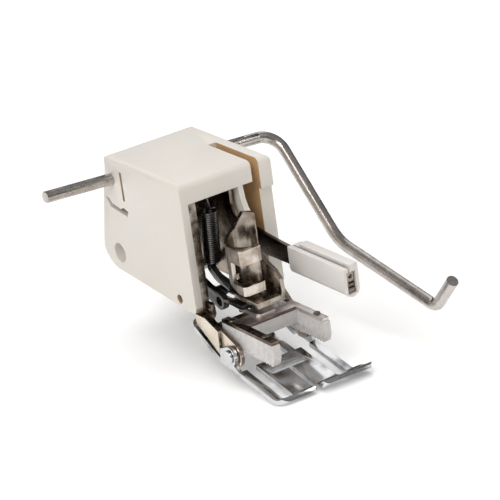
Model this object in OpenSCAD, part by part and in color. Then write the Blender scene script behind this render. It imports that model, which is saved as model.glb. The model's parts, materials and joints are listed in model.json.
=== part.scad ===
// Walking presser foot: an open-toe sole, a toothed feed dog and the fork lever that drives it,
// in a moulded housing that also grips a quilting guide bar.
// X runs to the right, Y to the back and Z up. The origin lies on the presser bar's axis at the
// height of the clamp screw. Modules measure from the housing's upper left front corner, and
// at_bar() carries them to the origin.

/* [Place on the machine] */
// Presser bar axis, to the right of the housing's left face
bar_x = 10.1; // [9.9:0.05:10.2]
// Presser bar axis, in front of the housing's front face
bar_y = 8.8; // [8.6:0.1:9]
// Clamp screw axis, below the housing's top
screw_drop = 20.2; // [19.8:0.1:20.6]
// Diameter of the seat that takes the presser bar
seat_d = 7.4; // [7:0.1:7.5]

/* [Housing] */
// Width of the housing
body_w = 25; // [24.8:0.1:27]
// Height of the housing at its front
body_h = 31.4; // [30.8:0.1:33]
// Depth of the housing along its top
body_d = 34; // [33:0.1:36]
// How far the back wall runs out behind the top edge
back_lean = 5.3; // [4.5:0.1:7]
// Rise of the bottom edge towards the back
bottom_rise = 2.4; // [1:0.1:3]
// Radius of the lower back corner
low_r = 6.5; // [5:0.1:8]
// Radius of the upper back corner
back_r = 3; // [2:0.1:4]
// Radius along the outer edges
edge_r = 1.4; // [0.8:0.1:1.8]
// Thickness of the left wall
wall = 1.9; // [1.5:0.1:2.1]
// Thickness of the top and back walls
top_t = 2; // [1.4:0.1:2.4]
// Thickness of the right wall
right_wall = 3.4; // [2.8:0.1:3.6]
// Depth of the front lip below the top face
lip_h = 4.9; // [4:0.1:5.4]
// Thickness of the front lip
lip_t = 2; // [1.2:0.1:3]
// Width of the slot that the fork arm swings through
fork_slot_w = 2.1; // [1.9:0.1:2.4]
// Length of that slot from the front
fork_slot_l = 17.4; // [15:0.1:19]
// Height of the wide tab at the top of the right wall
tab_h = 7.4; // [6:0.1:9]
// How far the tab stands forward of the wall below it
tab_step = 1; // [0.5:0.1:1.5]
// Thickness of the inner partition beside the slot
partition_t = 1.3; // [0.9:0.1:1.5]
// Height of the partition
partition_h = 12.2; // [10:0.1:14]
// Diameter of the sight hole at the fork shaft
sight_d = 4.9; // [4.2:0.1:5.4]
// Width of the cuts that free the sprung tongue
tongue_cut = 0.9; // [0.6:0.1:1.2]

/* [Main frame] */
// Sheet thickness of the frame
sheet_t = 1; // [0.9:0.05:1.1]
// Clear width between the two side plates
frame_w = 10.8; // [10.7:0.1:11.2]
// Width of the flange along the left plate's front edge
flange_w = 2; // [1.6:0.1:2.4]
// Height of the floor's underside above the ankle axis
floor_up = 10.3; // [10.1:0.05:10.5]
// Depth of the lip at the floor's front edge
floor_lip = 1.4; // [0.8:0.1:1.5]
// How far the floor reaches in front of the presser bar axis
floor_reach = 5.6; // [5.4:0.1:6]
// Radius of the rounded nose of the left leg
leg_r = 3.1; // [2.6:0.1:3.4]

/* [Shank head] */
// Wall between the seat and the head's left face
seat_wall = 1; // [0.8:0.05:1.2]
// Height of the clamp screw's slot
slot_h = 5.1; // [4.6:0.1:5.4]
// How far the prongs reach in front of the presser bar axis
prong_reach = 4.8; // [4.7:0.05:5]
// Height of the upper prong
prong_up_h = 3.6; // [3:0.1:4.2]
// Height of the lower prong
prong_low_h = 2.2; // [2:0.1:2.6]
// Height of the pointed wall above the upper prong
peak_h = 5.4; // [4:0.1:6]

/* [Fork lever] */
// Distance of the fork shaft behind the housing's front face
shaft_y = 31.7; // [31.2:0.1:32]
// Depth of the fork shaft below the housing's top
shaft_drop = 24.4; // [24:0.1:24.8]
// Diameter of the fork shaft
shaft_d = 3; // [2.6:0.1:3.2]
// Thickness of the fork arm
arm_t = 1; // [0.8:0.1:1.2]
// Length of the fork arm from the shaft to its tip
arm_l = 62; // [60:0.5:63]
// Height of the arm where it leaves the housing
arm_h = 7; // [6:0.1:7.4]
// Length of the fork shoe
shoe_l = 21.6; // [18:0.1:23]
// Height of the fork shoe
shoe_h = 6.9; // [6.4:0.1:7.4]
// Width of the fork shoe
shoe_w = 3.9; // [3.6:0.1:4.4]
// Radius of the crank's rounded tip
crank_r = 1.1; // [0.9:0.1:1.2]

/* [Lift lever] */
// Distance of the lift pin behind the housing's front face
lift_y = 14; // [13.8:0.1:14.6]
// Depth of the lift pin below the housing's top
lift_drop = 26.5; // [26.3:0.1:26.6]
// Diameter of the lift pin
lift_pin_d = 2.4; // [2:0.1:2.8]
// Thickness of the lift lever
lever_t = 1.4; // [1:0.1:1.5]
// Outer diameter of the lift spring
spring_d = 4; // [3.4:0.1:4.2]
// Wire diameter of the lift spring
spring_wire = 0.5; // [0.4:0.05:0.55]
// Number of coils in the lift spring
spring_coils = 24; // [18:1:26]

/* [Feed dog] */
// Height of the feed dog's top above the ankle axis
feed_up = 6.1; // [6:0.05:6.2]
// Length of the feed dog's left leg
feed_l = 20.3; // [18:0.1:21]
// Height of the feed dog with its teeth
feed_h = 5.2; // [4.6:0.1:5.4]
// Thickness of the left leg
feed_leg_t = 2; // [1.8:0.1:2.1]
// Thickness of the right leg
feed_right_t = 1.7; // [1.5:0.1:1.8]
// Spacing of the feed dog's teeth
tooth_pitch = 1.1; // [0.9:0.05:1.4]
// Depth of the teeth
tooth_h = 0.55; // [0.4:0.05:0.8]
// Thickness of the carrier strip and the slide plate
strip_t = 0.8; // [0.7:0.05:0.85]

/* [Sole] */
// Distance of the ankle axis in front of the housing's front face
ankle_y = 11.3; // [11.1:0.1:11.5]
// Depth of the ankle axis below the housing's top
ankle_drop = 38.4; // [38.3:0.05:38.5]
// Nose-down angle of the sole at rest, in degrees
sole_tilt = 11; // [10:0.5:12]
// Width of the sole over its rails
sole_w = 21.7; // [21.6:0.05:21.8]
// Length of the sole from the ankle axis to its front edge
sole_front = 19.6; // [19.2:0.1:20.4]
// Length of the sole behind the ankle axis
sole_back = 16.2; // [15.8:0.1:16.6]
// Thickness of the sole
sole_t = 1.1; // [1:0.05:1.2]
// Height of the ankle axis above the sole's underside
ankle_up = 3.4; // [3.3:0.05:3.5]
// Width of the needle slot
needle_w = 10; // [8:0.1:10.4]
// Width of the open toe's gap
toe_gap = 1.1; // [0.8:0.1:1.6]
// Diameter of the ankle rivets
rivet_d = 2.2; // [1.8:0.1:2.4]

/* [Guide bar] */
// Diameter of the guide bar
guide_d = 2.85; // [2.6:0.05:3]
// Thickness of the guide bar across its flats
guide_flat = 2.4; // [2.1:0.05:2.5]
// Length of the guide bar left of the housing
guide_left = 17.6; // [12:0.1:24]
// Distance from the housing's left face to the first bend's corner
guide_right = 46.1; // [42:0.1:48]
// Length of the sloping run
guide_slope_l = 32.5; // [30:0.1:36]
// Length of the level run
guide_run_l = 37.7; // [30:0.1:40]
// Length of the upturned tip
guide_tip_l = 10.3; // [9:0.1:13]
// Droop of the guide bar to the right, in degrees
guide_droop = 3.5; // [2.5:0.1:4]

/* [Hidden] */
$fn = 48;

// Clearances and overruns that every piece shares
over = 0.5;      // how far a cut runs past the face that it opens
shell_gap = 0.3; // clear distance between pieces that pass each other
run_fit = 0.05;  // radial clearance of a turning fit
seat_fit = 0.02; // radial clearance of a fixed fit
ball_fn = 20;    // facets of a rounding ball

// Places across the housing, from its left face
plate_l_x = wall + shell_gap;
frame_in_l = plate_l_x + sheet_t;
plate_r_x = frame_in_l + frame_w;
frame_out_r = plate_r_x + sheet_t;
slot_r_x = body_w - right_wall;
slot_x = slot_r_x - fork_slot_w;
partition_over = 2.6;
partition_x = slot_x - partition_over - partition_t;
arm_x = slot_r_x - shell_gap - arm_t;
lever_side = 0.85;
lever_x = bar_x - seat_d / 2 + lever_side;
spring_set = 0.3;
spring_x = lever_x + lever_t / 2 + spring_set;

// Heights and places along the housing
screw_z = -screw_drop;
shaft_z = -shaft_drop;
lift_z = -lift_drop;
ankle_z = -ankle_drop;
floor_z = ankle_z + floor_up;
floor_top = floor_z + sheet_t;
feed_top = ankle_z + feed_up;
strip_top = feed_top + strip_t;

// Shared drawing helpers
module at_bar() translate([-bar_x, bar_y, screw_drop]) children();

// A flat outline in Y and Z, thickened towards +X from x0
module side_plate(x0, t) translate([x0, 0, 0]) rotate([90, 0, 90]) linear_extrude(t) children();

// A flat outline in X and Z, thickened towards +Y from y0
module front_plate(y0, t) translate([0, y0 + t, 0]) rotate([90, 0, 0]) linear_extrude(t) children();

// A round bar along X
module x_pin(x0, x1, r, y, z) translate([x0, y, z]) rotate([0, 90, 0]) cylinder(h = x1 - x0, r = r);

// A box between two corners
module box(low, high) translate(low) cube(high - low);

// Points of an arc about [u, v], for outlines
function arc(u, v, r, a0, a1, n) =
    [for (i = [0:n]) let (a = a0 + (a1 - a0) * i / n) [u + r * cos(a), v + r * sin(a)]];

// A wire of radius r and m sides swept along the points p, closed at both ends
wire_sides = 6;
bar_sides = 24;
function unit(v) = v / norm(v);
function tangent(p, i) = unit(p[min(i + 1, len(p) - 1)] - p[max(i - 1, 0)]);
function ring(p, i, r, up, m) =
    let (t = tangent(p, i), s = unit(cross(t, up)), n = cross(s, t))
    [for (k = [0:m - 1]) p[i] + r * (cos(360 * k / m) * s + sin(360 * k / m) * n)];
module wire(p, r, up, m = wire_sides) {
    last = len(p) - 1;
    pts = [for (i = [0:last]) each ring(p, i, r, up, m)];
    walls = [for (i = [0:last - 1], k = [0:m - 1])
        [i * m + k, i * m + (k + 1) % m, (i + 1) * m + (k + 1) % m, (i + 1) * m + k]];
    caps = [[for (k = [m - 1:-1:0]) k], [for (k = [0:m - 1]) last * m + k]];
    polyhedron(points = pts, faces = concat(walls, caps), convexity = 10);
}

// Points of a coil about the Z axis
coil_steps = 12;
function coil(r, pitch, turns) =
    [for (i = [0:turns * coil_steps])
        [r * cos(360 * i / coil_steps), r * sin(360 * i / coil_steps), pitch * i / coil_steps]];

// Housing: a moulded shell, open at the front and below
housing_back = body_d + back_lean;
low_z = -body_h + bottom_rise + low_r;
corner_steps = 6;
side_lean = [housing_back - low_r - body_d + back_r, low_z + back_r];
back_a = atan2(side_lean.y, side_lean.x) + acos((back_r - low_r) / norm(side_lean));
bottom_a = 275;
guide_back = 3.5;
guide_y = body_d - guide_back;
guide_drop = 5.45;
guide_z = -guide_drop;
boss_wall = 1.45;
boss_r = sight_d / 2 + boss_wall;
boss_l = 3.8;
sight_floor = 0.7;
sight_depth = 3.5;
bearing_depth = 1.8;
pin_hole_d = 2.2;
pin_hole_y = 6.6;
pin_hole_up = 2.2;
pin_z = -body_h + pin_hole_up;
pin_sunk = 0.6;
notch_d = 0.7;
notch_h = 4.4;
notch_top = 1.7;
tongue_top = 2.7;
tongue_drop = 13.8;
tongue_w = 8.8;
tongue_back = 34.2;
// The hooked cut under the tongue, as shares of its width and drop
tongue_cut_shares = [
    [0.00, 0.77], [0.18, 0.94], [1.00, 1.00], [1.08, 0.89], [0.85, 0.85], [0.70, 0.90],
    [0.28, 0.86], [0.18, 0.79]
];
// The front edge of the partition, as shares of its height: forward reach, then depth
partition_edge_shares = [[-0.02, 0.16], [-0.02, 0.42], [0.02, 0.66], [0.08, 0.80], [0.16, 0.92], [0.20, 1.00]];
partition_back = 24;
slit_share = 0.72;

module body_side() polygon(concat(
    arc(edge_r, -edge_r, edge_r, 180, 90, corner_steps),
    arc(body_d - back_r, -back_r, back_r, 90, back_a, corner_steps),
    arc(housing_back - low_r, low_z, low_r, back_a, bottom_a - 360, corner_steps),
    arc(edge_r, -body_h + edge_r, edge_r, bottom_a, 180, corner_steps)));

// A long strip as wide as the housing, with its two far corners rounded
module rounded_strip(l) {
    translate([edge_r, -l]) square([body_w - 2 * edge_r, l]);
    translate([0, -l]) square([body_w, l - edge_r]);
    for (x = [edge_r, body_w - edge_r]) translate([x, -edge_r]) circle(edge_r);
}

module housing_body() intersection() {
    side_plate(0, body_w) body_side();
    translate([0, 2 * body_d, 0]) rotate([90, 0, 0]) linear_extrude(3 * body_d) rounded_strip(2 * body_h);
    translate([0, body_d - back_r, -back_r]) rotate([back_a, 0, 0])
        translate([0, back_r + seat_fit, -2 * body_h]) linear_extrude(3 * body_h) rounded_strip(2 * body_d);
}

module housing_cavity() {
    side_plate(wall, slot_r_x - wall) polygon(concat(
        [[-over, -lip_h], [lip_t, -lip_h], [lip_t, -top_t], [body_d - top_t, -top_t]],
        [[housing_back - top_t, low_z], [housing_back - top_t - low_r, -body_h - over]],
        [[-over, -body_h - over]]));
}

module tongue_cuts() {
    side_plate(-over, wall + 2 * over) {
        polygon([for (p = tongue_cut_shares) [tongue_back - p.x * tongue_w, -p.y * tongue_drop]]);
        translate([tongue_back - tongue_w, -tongue_drop * slit_share])
            square([tongue_cut, tongue_drop * slit_share - tongue_top]);
    }
    box([-over, guide_y, -notch_top - notch_h], [notch_d, housing_back + over, -notch_top]);
}

module along_guide() translate([0, guide_y, guide_z]) rotate([0, guide_droop, 0]) children();

module housing() color("antiquewhite") at_bar() {
    difference() {
        union() {
            difference() {
                housing_body();
                housing_cavity();
            }
            side_plate(partition_x, partition_t) polygon(concat(
                [for (p = partition_edge_shares) [-p.x * partition_h, -p.y * partition_h]],
                [[partition_back, -partition_h], [partition_back, -top_t / 2], [lip_t, -top_t / 2]]));
            x_pin(wall - over, wall + boss_l, boss_r, shaft_y, shaft_z);
        }
        box([slot_x, -over, -lip_h - over], [slot_r_x, fork_slot_l, over]);
        box([slot_r_x - over, -over, -body_h - over], [body_w + over, tab_step, -tab_h]);
        x_pin(-over, sight_depth, sight_d / 2, shaft_y, shaft_z);
        x_pin(sight_depth + sight_floor, body_w - right_wall + bearing_depth,
            shaft_d / 2 + run_fit, shaft_y, shaft_z);
        x_pin(-over, wall + over, pin_hole_d / 2, pin_hole_y, pin_z);
        tongue_cuts();
        along_guide() x_pin(-over - wall, body_w + 2 * over, guide_d / 2 + run_fit, 0, 0);
    }
}

// Housing pin: a headless pin through the small hole into the left plate
module housing_pins() color("gainsboro") at_bar() {
    x_pin(pin_sunk, frame_in_l, pin_hole_d / 2 - seat_fit, pin_hole_y, pin_z);
}

// Main frame: folded sheet, two side plates with legs, and a floor with a lip
disc_r = 3.1;
plate_set = 0.7;
plate_top = 3;
plate_l_back = 26;
plate_l_low = 0.4;
bridge_y = 8;
flange_top = 5.2;
post_y = 3.5;
post_z = -5.5;
post_d = 1.6;
ear_t = 0.9;
ear_r_t = 0.9;
rail_x = 0.3;
rail_r_x = rail_x + sole_w;
leg_t = 0.9;
leg_x = rail_x + ear_t + shell_gap;
leg_out_x = rail_x + shell_gap;
leg_right_x = rail_r_x - ear_r_t - shell_gap - leg_t;
leg_low = 2.2;
leg_back = 2.4;
leg_waist_y = 2.3;
leg_waist_h = 4.8;
leg_heel_y = 1.5;
leg_heel_h = 2.7;
joggle_y = 7;
joggle_slope = 1.5;
leg_right_r = 2.4;
leg_arc_a = 105;
foot_y = 1.8;
foot_front = 2.3;
foot_step = 1.2;
fold_z = -body_h - shell_gap;
floor_x = lever_x + shell_gap;
floor_back = 5;
floor_front = -bar_y - floor_reach;
notch_w = 1.3;
// The grey tab inside the left leg, as points in Y and Z from the foot's front lower corner
tab_points = [[3.8, 3.4], [1.4, 3.8], [0.4, 3.5], [0.1, 1.3], [1.0, 0], [2.0, -0.4], [4.6, -0.2]];
tab_t = 1;
// The right plate's front edge, as shares of its reach and height, from the floor up
right_edge_shares = [
    [0.00, 0.00], [-0.04, 0.09], [-0.02, 0.20], [0.10, 0.265], [0.27, 0.305], [0.47, 0.38],
    [0.57, 0.48], [0.67, 0.60], [0.90, 0.66], [0.98, 0.72], [1.00, 0.78], [1.00, 0.90]
];
plate_top_y = lip_t + shell_gap;
plate_front_z = -lip_h - shell_gap;

module left_plate() {
    difference() {
        side_plate(plate_l_x, sheet_t) polygon([
            [plate_set, plate_front_z], [plate_top_y, plate_front_z], [plate_top_y, -plate_top],
            [plate_l_back, -plate_top], [plate_l_back, lift_z],
            [foot_y + pin_hole_y, -body_h + plate_l_low], [foot_y, -body_h + plate_l_low],
            [foot_y, fold_z - foot_step], [-foot_front, fold_z - foot_step],
            [-foot_front, fold_z], [plate_set, -body_h + plate_l_low]]);
        x_pin(0, plate_r_x, pin_hole_d / 2, pin_hole_y, pin_z);
        x_pin(0, plate_r_x, lift_pin_d / 2 + seat_fit, lift_y, lift_z);
        x_pin(0, plate_r_x, post_d / 2 + seat_fit, post_y, post_z);
    }
    box([plate_l_x, plate_set, -body_h + plate_l_low], [plate_l_x + flange_w, plate_set + sheet_t, -flange_top]);
    box([plate_l_x, bridge_y, -plate_top - sheet_t], [frame_out_r, plate_l_back, -plate_top]);
}

module leg_outline() polygon(concat(
    [[foot_y, fold_z], [-foot_front, fold_z]],
    arc(-ankle_y, ankle_z, leg_r, leg_arc_a, 180 + asin(leg_low / leg_r), 12),
    [[-ankle_y + leg_back, ankle_z - leg_low], [-leg_waist_y, fold_z - leg_waist_h],
    [leg_heel_y, fold_z - leg_heel_h], [foot_y, fold_z - foot_step]]));

module left_leg() {
    difference() {
        union() {
            box([leg_out_x, -foot_front, fold_z - foot_step], [frame_in_l, foot_y, fold_z]);
            side_plate(leg_x, leg_t) leg_outline();
            side_plate(leg_out_x, leg_x + leg_t - leg_out_x) intersection() {
                leg_outline();
                polygon([
                    [-joggle_y - joggle_slope, 0], [-joggle_y + joggle_slope, 2 * ankle_z],
                    [body_d, 2 * ankle_z], [body_d, 0]]);
            }
            translate([0, -foot_front, fold_z - foot_step])
                side_plate(frame_in_l - tab_t / 4, tab_t) polygon(tab_points);
        }
        x_pin(leg_x - over, frame_in_l, rivet_d / 2 + seat_fit, -ankle_y, ankle_z);
    }
}

module right_plate() {
    difference() {
        side_plate(plate_r_x, sheet_t) polygon(concat(
            [for (p = right_edge_shares) [
                floor_front + p.x * (post_y - floor_front - post_d),
                floor_z - p.y * (floor_z + plate_top)]],
            [[plate_top_y, plate_front_z], [plate_top_y, -plate_top], [plate_l_back, -plate_top]],
            arc(shaft_y, shaft_z, disc_r, 30, -90, 8),
            [[lift_y - disc_r, floor_z]]));
        x_pin(plate_r_x - over, frame_out_r + over, shaft_d / 2 + run_fit, shaft_y, shaft_z);
        x_pin(0, frame_out_r + over, lift_pin_d / 2 + seat_fit, lift_y, lift_z);
        x_pin(0, frame_out_r + over, post_d / 2 + seat_fit, post_y, post_z);
        shank_rivet_holes();
    }
}

module right_leg() {
    difference() {
        union() {
            box([plate_r_x, -foot_front - sheet_t, floor_z - sheet_t], [leg_right_x + leg_t, foot_y, floor_z]);
            side_plate(leg_right_x, leg_t) polygon(concat(
                [[foot_y, floor_z], [-foot_front - sheet_t, floor_z]],
                arc(-ankle_y, ankle_z, leg_right_r, 135, 180 + asin(leg_low / leg_right_r), 10),
                [[-ankle_y + leg_right_r / 2, ankle_z - leg_low]]));
        }
        x_pin(leg_right_x - over, leg_right_x + leg_t + over, rivet_d / 2 + seat_fit, -ankle_y, ankle_z);
    }
}

module frame_floor() {
    box([floor_x, floor_front, floor_z], [plate_r_x + sheet_t / 2, -floor_back, floor_top]);
    difference() {
        box([floor_x, floor_front, floor_top - floor_lip], [frame_out_r, floor_front + sheet_t, floor_top]);
        box([floor_x + sheet_t / 2, floor_front - over, floor_z + sheet_t / 4],
            [floor_x + sheet_t / 2 + notch_w, floor_front + sheet_t / 2, floor_top - sheet_t / 4]);
    }
}

module main_frame() color("silver") at_bar() {
    left_plate();
    left_leg();
    right_plate();
    right_leg();
    frame_floor();
}

// Shank head: two prongs round the clamp screw, and the hollow seat for the presser bar
head_x = bar_x - seat_d / 2 - seat_wall;
head_r = 1;
prong_front = -bar_y - prong_reach;
seat_back = -bar_y + seat_d / 2;
head_back = seat_back + seat_wall;
slot_low = screw_z - slot_h / 2;
slot_top = screw_z + slot_h / 2;
head_top = slot_top + prong_up_h;
head_low = slot_low - prong_low_h;
peak_z = head_top + peak_h;
prong_over = 0.9;
prong_right = bar_x + prong_over;
slot_set = 0.3;
slot_back = -bar_y - slot_set;
wall_set = 0.8;
wall_front = -bar_y + wall_set;
shell_r = seat_d / 2 + seat_wall;
// The pointed wall's left edge, as shares of the seat's radius and of the wall's height
peak_shares = [[0.62, 1.00], [0.00, 0.36], [-1.00, 0.08], [-1.30, 0.06]];
// The lower prong's underside, as shares of the seat's radius and of the prong's height
under_shares = [[-0.55, 0.00], [0.20, 0.60], [0.60, 1.00]];
rivet_r = 0.7;
rivet_in = 1.1;
rivet_up = 1.7;
rivet_head_share = 1.6;
rivet_grip = 1.2;
shank_rivet_z = [floor_top + rivet_up, slot_low - rivet_r / 2];
shank_rivet_y = head_back - rivet_in;
head_right = plate_r_x;

module shank_rivet_holes() {
    for (z = shank_rivet_z)
        x_pin(head_right - rivet_grip, frame_out_r + over, rivet_r + seat_fit, shank_rivet_y, z);
}

module head_plan() difference() {
    union() {
        translate([bar_x, -bar_y]) circle(shell_r);
        translate([head_x, prong_front + head_r])
            square([prong_right - head_x, -bar_y - prong_front - head_r]);
        translate([head_x + head_r, prong_front])
            square([prong_right - head_x - 2 * head_r, 2 * head_r]);
        for (x = [head_x + head_r, prong_right - head_r])
            translate([x, prong_front + head_r]) circle(head_r);
        translate([bar_x, wall_front]) square([head_right - bar_x, head_back - wall_front]);
    }
    translate([prong_right, prong_front - over])
        square([shell_r, wall_front - prong_front + over]);
    translate([head_right, wall_front - over]) square([shell_r, shell_r]);
}

module head_front() polygon([
    [head_x, floor_top], [head_right, floor_top], [head_right, slot_low], [bar_x + shell_r, slot_top],
    [bar_x + shell_r, head_top], [head_x, head_top]]);

// The thin pointed wall above the upper prong, seen from the front
module peak_front() polygon(concat(
    [[head_x - over, head_top - over], [head_right, head_top - over], [head_right, peak_z]],
    [for (p = peak_shares) [bar_x + p.x * seat_d / 2, head_top + p.y * peak_h]]));

module under_cut() side_plate(head_x - over, bar_x - head_x + over) polygon(concat(
    [[prong_front - over, head_low - prong_low_h - over], [prong_front - over, head_low]],
    [for (p = under_shares) [-bar_y + p.x * seat_d / 2, head_low + p.y * prong_low_h]],
    [[head_back + over, slot_low], [head_back + over, head_low - prong_low_h - over]]));

module shank_head() color("lightgray") at_bar() {
    low = floor_top - over;
    difference() {
        union() {
            intersection() {
                translate([0, 0, floor_top]) linear_extrude(head_top - floor_top) head_plan();
                front_plate(prong_front - over, head_back - prong_front + 2 * over) head_front();
            }
            intersection() {
                translate([bar_x, -bar_y, head_top - over]) cylinder(h = peak_z - head_top + over, r = shell_r);
                front_plate(wall_front, shell_r) peak_front();
            }
        }
        translate([bar_x, -bar_y, low]) cylinder(h = peak_z - low + over, r = seat_d / 2);
        box([head_x - over, prong_front - over, slot_low], [prong_right + over, slot_back, slot_top]);
        box([head_x - over, prong_front - over, low], [head_right + over, wall_front, head_low]);
        under_cut();
        shank_rivet_holes();
    }
}

module shank_rivets() color("lightgray") at_bar() {
    for (z = shank_rivet_z) {
        x_pin(head_right - rivet_grip + seat_fit, frame_out_r + seat_fit, rivet_r, shank_rivet_y, z);
        x_pin(frame_out_r + seat_fit, frame_out_r + sheet_t / 2, rivet_head_share * rivet_r, shank_rivet_y, z);
    }
}

// Fork lever: the shaft, the arm, its shoe and tip, and the crank behind the lift lever
end_gap = 0.1;
shaft_left = sight_depth + sight_floor + end_gap;
hub_r = 2.6;
crank_hub_r = 2.3;
shoe_wall = 0.7;
shoe_x = arm_x - shoe_wall;
shoe_front = shaft_y - arm_l - 3 * shoe_wall;
shoe_back = shoe_front + shoe_l;
shoe_low = -25;
shoe_top = shoe_low + shoe_h;
ridge_h = 0.8;
ridge_x = arm_x + arm_t;
ridge_step = 2.3;
groove_w = 0.45;
groove_d = 0.9;
mouth_d = 2.2;
mouth_wall = 0.75;
pocket_share = 0.15;
// The arm's outline in front of its hub, as shares of its length and of its height above the shaft
arm_top_shares = [[0.02, 0.35], [0.10, 0.54], [0.38, 1.00], [0.46, 0.98], [0.61, 0.87], [0.69, 0.83], [0.97, 0.72]];
arm_low_shares = [[0.97, 0.30], [0.69, 0.21], [0.45, 0.16], [0.20, -0.20], [0.07, -0.40], [0.02, -0.40]];
crank_reach = 3.2;
crank_drop = 4;
crank_y = shaft_y - crank_reach;
crank_z = shaft_z - crank_drop;

module fork_shaft() color("silver") at_bar() {
    x_pin(shaft_left, slot_r_x + bearing_depth - end_gap, shaft_d / 2, shaft_y, shaft_z);
}

module fork_arm() color("dimgray") at_bar() {
    difference() {
        union() {
            side_plate(arm_x, arm_t) polygon(concat(
                [for (p = arm_top_shares) [shaft_y - p.x * arm_l, shaft_z + p.y * arm_h]],
                [for (p = arm_low_shares) [shaft_y - p.x * arm_l, shaft_z + p.y * arm_h]]));
            x_pin(arm_x, arm_x + arm_t, disc_r, shaft_y, shaft_z);
        }
        x_pin(arm_x - over, arm_x + arm_t + over, shaft_d / 2 + seat_fit, shaft_y, shaft_z);
    }
}

module shoe_section() {
    r = shoe_w / 2;
    translate([shoe_x + r, shoe_low + r]) circle(r);
    translate([shoe_x, shoe_low + r]) square([shoe_w, shoe_h - r]);
}

module fork_shoe() color("white") at_bar() {
    difference() {
        union() {
            front_plate(shoe_front, shoe_l) shoe_section();
            box([ridge_x, shoe_front, shoe_top - over],
                [shoe_x + shoe_w, shoe_back - ridge_step, shoe_top + ridge_h]);
        }
        box([arm_x - seat_fit, shaft_y - arm_l - shell_gap, shaft_z + pocket_share * arm_h],
            [arm_x + arm_t + seat_fit, shoe_back + over, shoe_top - groove_d / 4]);
        box([ridge_x - groove_w, shoe_front - over, shoe_top - groove_d], [ridge_x, shoe_back + over, shoe_top + over]);
        box([shoe_x + mouth_wall, shoe_front - over, shoe_low + mouth_wall],
            [shoe_x + shoe_w - mouth_wall, shoe_front + mouth_d, shoe_top - groove_d]);
    }
}

tip_gap = 0.1;
tip_x = shoe_x + mouth_wall + tip_gap;
tip_w = shoe_w - 2 * mouth_wall - 2 * tip_gap;
tip_low = shoe_low + mouth_wall + tip_gap;
tip_top = shoe_top - groove_d - tip_gap;

module fork_tip() color("gray") at_bar() {
    difference() {
        box([tip_x, shoe_front + mouth_d / 4, tip_low], [tip_x + tip_w, shoe_front + mouth_d - tip_gap, tip_top]);
        translate([tip_x + tip_w / 2, shoe_front, tip_top - tip_w / 2])
            rotate([-90, 0, 0]) cylinder(h = mouth_d / 2, r = tip_w / 4);
        for (i = [1:2])
            box([tip_x + tip_w / 4, shoe_front, tip_low + i * tip_w / 2],
                [tip_x + tip_w, shoe_front + mouth_d / 2, tip_low + i * tip_w / 2 + tip_w / 5]);
    }
}

module fork_crank() color("silver") at_bar() {
    a = atan2(crank_drop, crank_reach);
    difference() {
        union() {
            x_pin(lever_x, lever_x + lever_t, crank_hub_r, shaft_y, shaft_z);
            x_pin(lever_x, lever_x + lever_t, crank_r, crank_y, crank_z);
            side_plate(lever_x, lever_t) polygon([
                [shaft_y + crank_r * sin(a), shaft_z - crank_r * cos(a)],
                [shaft_y - crank_r * sin(a), shaft_z + crank_r * cos(a)],
                [crank_y - crank_r * sin(a), crank_z + crank_r * cos(a)],
                [crank_y + crank_r * sin(a), crank_z - crank_r * cos(a)]]);
        }
        x_pin(lever_x - over, lever_x + lever_t + over, shaft_d / 2 + seat_fit, shaft_y, shaft_z);
    }
}

fork_coil_wire = 0.6;
fork_coils = 4;
close_pitch_share = 1.08;
fork_leg_l = 7;
module fork_spring() color("dimgray") at_bar() {
    r = shaft_d / 2 + fork_coil_wire;
    pitch = close_pitch_share * fork_coil_wire;
    translate([frame_out_r + fork_coil_wire, shaft_y, shaft_z]) rotate([0, 90, 0]) wire(concat(
        [[r, -fork_leg_l, 0]], coil(r, pitch, fork_coils), [[r, fork_leg_l / 3, pitch * fork_coils]]),
        fork_coil_wire / 2, [0, 0, 1]);
}

clip_t = 0.7;
clip_r = 2.2;
module shaft_clip() color("silver") at_bar() {
    x0 = lever_x + lever_t + seat_fit;
    difference() {
        x_pin(x0, x0 + clip_t, clip_r, shaft_y, shaft_z);
        x_pin(x0 - over, x0 + clip_t + over, shaft_d / 2 + seat_fit, shaft_y, shaft_z);
        box([x0 - over, shaft_y, shaft_z - shaft_d / 3], [x0 + clip_t + over, shaft_y + clip_r + over, shaft_z + shaft_d / 3]);
    }
}

// Lift lever: a black lever with an eye, a curved arm for the spring, and a flange below the floor
flange_t = 1;
flange_gap = 1.3;
flange_top_z = floor_z - flange_gap;
flange_front = -8;
flange_back = -2.4;
flange_right = plate_r_x - shell_gap;
eye_y = 1.6;
eye_drop = 1.5;
eye_z = flange_top_z - eye_drop;
eye_r = 2.1;
eye_hole_r = 1.2;
lift_hub_r = 2.5;
rail_w = 1.4;
lug_y = 5.6;
lug_t = 1;
lug_z = strip_top - shell_gap;
tail_set = 0.9;
tail_y = crank_y - tail_set;
tail_low = crank_z + crank_r + shell_gap;
tail_h = 1.7;
// The curved arm's centre line in Y and Z, from the eye's centre
arm_curve = [[-5.5, 4.9], [-3.8, 5.3], [-2.2, 5.5], [-0.7, 5.8], [0.5, 6.3], [1.5, 7], [2.2, 7.7]];
riser_t = 1;
riser_w = 1.4;
arm_curve_w = 1.7;
hook_set = 2.2;
hook_y = eye_y + hook_set;
hook_z = eye_z + arm_curve[6].y;

// A strip of even width along 2D points
module strip(p, w) {
    side = [for (i = [0:len(p) - 1]) let (t = tangent(p, i)) w / 2 * [-t.y, t.x]];
    last = len(p) - 1;
    polygon(concat([for (i = [0:last]) p[i] + side[i]], [for (i = [last:-1:0]) p[i] - side[i]]));
    translate(p[last]) circle(w / 2);
}

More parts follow.
